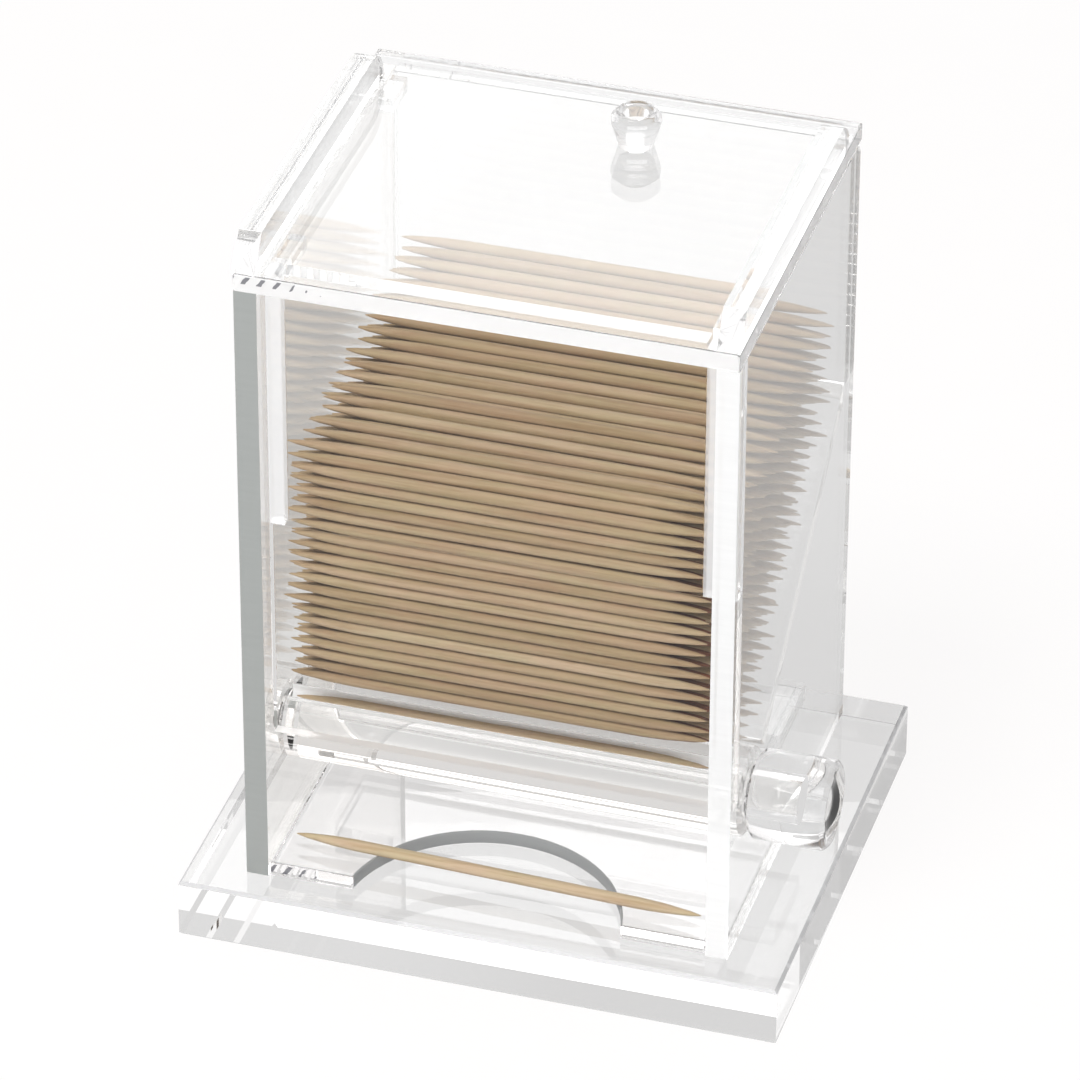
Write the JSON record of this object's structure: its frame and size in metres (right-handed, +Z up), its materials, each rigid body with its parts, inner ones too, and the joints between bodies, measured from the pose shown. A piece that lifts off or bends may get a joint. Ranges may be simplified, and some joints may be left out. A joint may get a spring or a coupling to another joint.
{
  "type": "toothpick holder",
  "caption": "Clear acrylic box on a thick base that stores toothpicks and, when its side knob turns a grooved roller, lays one on a notched tray.",
  "frame": {"origin": "centre of the base plate's underside", "axes": "+X along the toothpicks towards the turning knob, +Y from the tray to the back, +Z up"},
  "size_m": [0.098, 0.079, 0.1235],
  "materials": {
    "clear_sheet": "clear cast acrylic sheet, flame-polished edges",
    "clear_turned": "clear acrylic rod, turned and polished",
    "pick_wood": "plain sanded birch"
  },
  "bodies": {
    "stand": {"base_plate": "clear_sheet", "left_side_wall": "clear_sheet", "right_side_wall": "clear_sheet", "upper_front_panel": "clear_sheet", "left_front_strip": "clear_sheet", "right_front_strip": "clear_sheet", "lower_front_panel": "clear_sheet", "back_panel": "clear_sheet", "hopper_ramp": "clear_sheet", "cross_brace": "clear_sheet", "tray_plate": "clear_sheet", "toothpick_stack": "pick_wood", "tray_toothpick": "pick_wood"},
    "roller": {"dispensing_roller": "clear_turned", "turning_knob": "clear_turned", "retaining_collar": "clear_turned", "groove_toothpick": "pick_wood"},
    "lid": {"lid_plate": "clear_sheet", "left_lid_rail": "clear_sheet", "right_lid_rail": "clear_sheet", "lid_knob": "clear_turned", "left_locating_blocks": "clear_sheet", "right_locating_blocks": "clear_sheet"}
  },
  "joints": [
    {"name": "roller_turn", "type": "hinge", "parent": "stand", "child": "roller", "pos_m": [0, -0.0198, 0.0315], "axis": [1, 0, 0], "continuous": true},
    {"name": "lid_lift", "type": "slide", "parent": "stand", "child": "lid", "axis": [0, 0, 1], "range_m": [0, 0.04]}
  ]
}
